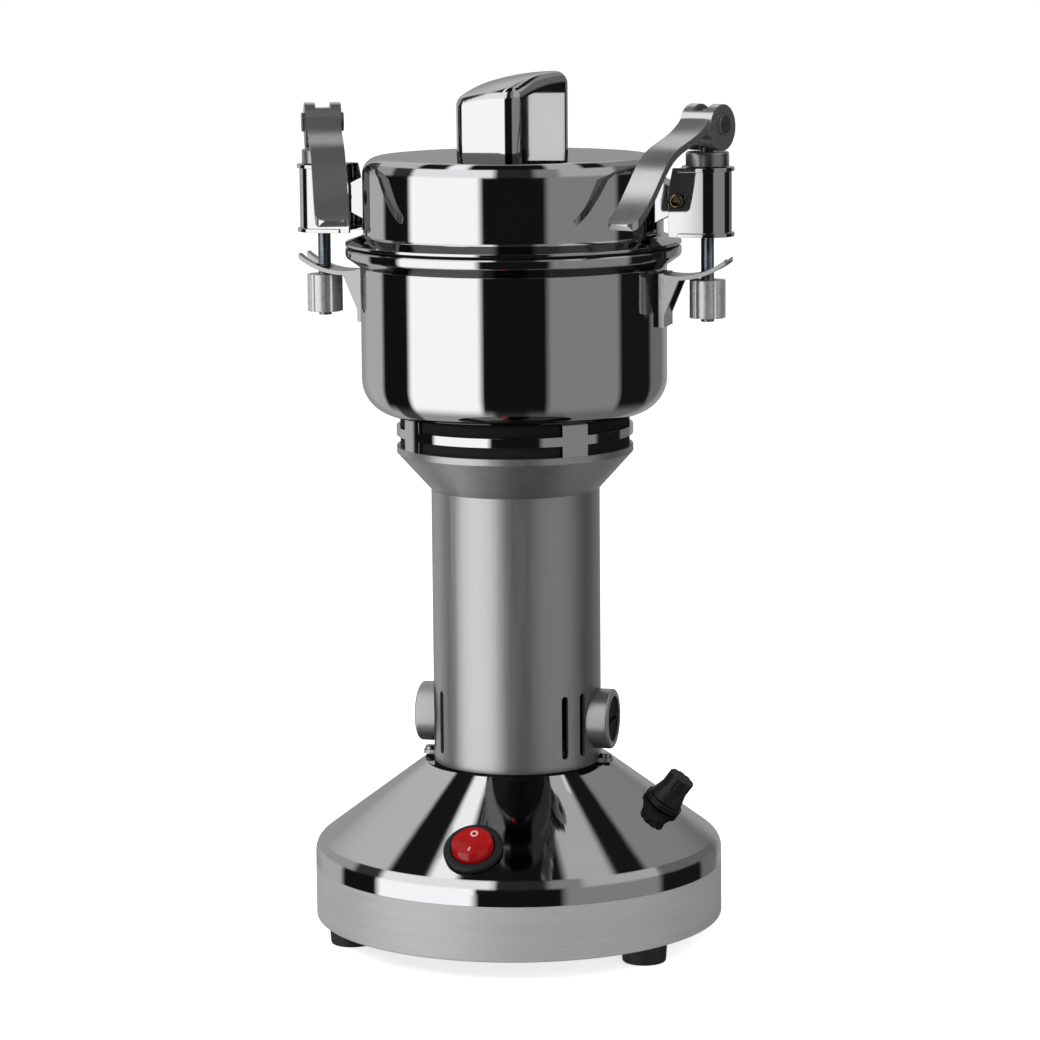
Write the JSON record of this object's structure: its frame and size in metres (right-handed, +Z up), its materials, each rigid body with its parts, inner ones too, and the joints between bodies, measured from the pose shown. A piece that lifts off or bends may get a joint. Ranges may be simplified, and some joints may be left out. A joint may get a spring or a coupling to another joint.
{
  "type": "electric spice grinder",
  "caption": "Upright electric spice grinder: polished bowl with a lid held by toggle clamps, on a vented motor column and a conical base with a rocker switch.",
  "frame": {"origin": "on the ground under the column's axis, the middle of the footprint", "axes": "+Z up along the column's axis, -Y towards the switch, +X towards the fuse holder and the right-hand clamp"},
  "size_m": [0.1736, 0.16, 0.3382],
  "materials": {
    "cast_satin": "satin cast aluminium, vertical grain",
    "satin_steel": "satin steel",
    "polished_steel": "mirror polished stainless steel",
    "black_rubber": "matte black rubber",
    "black_plastic": "black moulded plastic",
    "red_plastic": "glossy red moulded plastic",
    "zinc_steel": "zinc plated steel",
    "turned_steel": "plain turned steel",
    "lamination": "dull lamination steel",
    "copper": "enamelled copper",
    "brass": "plain brass",
    "carbon": "pressed carbon"
  },
  "bodies": {
    "body": {"base_ring": "cast_satin", "base_plate": "satin_steel", "base_screws": "zinc_steel", "base_cone": "polished_steel", "switch_body": "black_plastic", "fuse_holder": "black_plastic", "cord_gland": "black_rubber", "motor_column": "cast_satin", "column_screws": "zinc_steel", "brush_holders": "black_plastic", "carbon_brushes": "carbon", "brush_springs": "turned_steel", "brush_caps": "black_plastic", "lower_bracket": "cast_satin", "upper_bracket": "cast_satin", "bearings": "turned_steel", "stator_core": "lamination", "field_coils": "copper", "vent_collar": "polished_steel", "vent_screen": "black_plastic", "bowl": "polished_steel", "rim_ring": "polished_steel", "bowl_screws": "zinc_steel", "shaft_seal": "black_rubber", "lid_shell": "polished_steel", "lid_flange": "polished_steel", "lid_seal": "black_rubber", "lid_handle": "polished_steel", "handle_screw": "zinc_steel", "foot_front_right": "black_rubber", "foot_front_left": "black_rubber", "foot_rear": "black_rubber", "lid_lugs": "polished_steel", "bowl_hooks": "polished_steel"},
    "rotor": {"armature_shaft": "turned_steel", "armature_core": "lamination", "armature_winding": "copper", "commutator": "copper", "cooling_fan": "black_plastic", "lower_blade": "satin_steel", "upper_blade": "satin_steel", "blade_spacer": "turned_steel", "blade_nut": "zinc_steel"},
    "rocker": {"switch_rocker": "red_plastic"},
    "fuse_cap": {"fuse_cap": "black_plastic"},
    "clamp_right": {"clamp_housing_right": "polished_steel", "clamp_screw_right": "brass"},
    "swivel_right": {"clamp_collar_right": "zinc_steel"},
    "rod_right": {"draw_rod_right": "zinc_steel"},
    "lever_right": {"clamp_lever_right": "polished_steel", "lever_pin_right": "zinc_steel"},
    "nut_right": {"adjusting_nut_right": "cast_satin"},
    "clamp_left": {"clamp_housing_left": "polished_steel", "clamp_screw_left": "brass"},
    "swivel_left": {"clamp_collar_left": "zinc_steel"},
    "rod_left": {"draw_rod_left": "zinc_steel"},
    "lever_left": {"clamp_lever_left": "polished_steel", "lever_pin_left": "zinc_steel"},
    "nut_left": {"adjusting_nut_left": "cast_satin"}
  },
  "joints": [
    {"name": "rotor_spin", "type": "hinge", "parent": "body", "child": "rotor", "pos_m": [0, 0, 0.106], "axis": [0, 0, 1], "continuous": true},
    {"name": "rocker_tilt", "type": "hinge", "parent": "body", "child": "rocker", "pos_m": [0, -0.06702, 0.04925], "axis": [1, 0, 0], "range_deg": [0, 16]},
    {"name": "fuse_cap_turn", "type": "hinge", "parent": "body", "child": "fuse_cap", "pos_m": [0.058, 0, 0.05389], "axis": [0.5997, 0, 0.8002], "range_deg": [0, 90]},
    {"name": "clamp_swing_right", "type": "hinge", "parent": "body", "child": "clamp_right", "pos_m": [0.0665, 0, 0.29], "axis": [0, -1, 0], "range_deg": [0, 28]},
    {"name": "lever_swivel_right", "type": "hinge", "parent": "clamp_right", "child": "swivel_right", "pos_m": [0.0765, 0, 0.3084], "axis": [0, 0, 1], "range_deg": [-8, 110]},
    {"name": "rod_drop_right", "type": "slide", "parent": "swivel_right", "child": "rod_right", "axis": [0, 0, -1], "range_m": [0, 0.0013]},
    {"name": "lever_lift_right", "type": "hinge", "parent": "rod_right", "child": "lever_right", "pos_m": [0.0765, 0, 0.3187], "axis": [-0.9336, 0.3584, 0], "range_deg": [0, 100]},
    {"name": "nut_turn_right", "type": "hinge", "parent": "rod_right", "child": "nut_right", "pos_m": [0.0765, 0, 0.2596], "axis": [0, 0, 1], "range_deg": [-180, 180]},
    {"name": "clamp_swing_left", "type": "hinge", "parent": "body", "child": "clamp_left", "pos_m": [-0.0665, 0, 0.29], "axis": [0, 1, 0], "range_deg": [0, 28]},
    {"name": "lever_swivel_left", "type": "hinge", "parent": "clamp_left", "child": "swivel_left", "pos_m": [-0.0765, 0, 0.3084], "axis": [0, 0, -1], "range_deg": [-8, 110]},
    {"name": "rod_drop_left", "type": "slide", "parent": "swivel_left", "child": "rod_left", "axis": [0, 0, -1], "range_m": [0, 0.0013]},
    {"name": "lever_lift_left", "type": "hinge", "parent": "rod_left", "child": "lever_left", "pos_m": [-0.0765, 0, 0.3187], "axis": [-0.9336, -0.3584, 0], "range_deg": [0, 100]},
    {"name": "nut_turn_left", "type": "hinge", "parent": "rod_left", "child": "nut_left", "pos_m": [-0.0765, 0, 0.2596], "axis": [0, 0, 1], "range_deg": [-180, 180]}
  ],
  "couplings": [
    {"joint": "rod_drop_right", "follows": "lever_lift_right", "m_per_rad": 0.00074485},
    {"joint": "rod_drop_left", "follows": "lever_lift_left", "m_per_rad": 0.00074485}
  ]
}
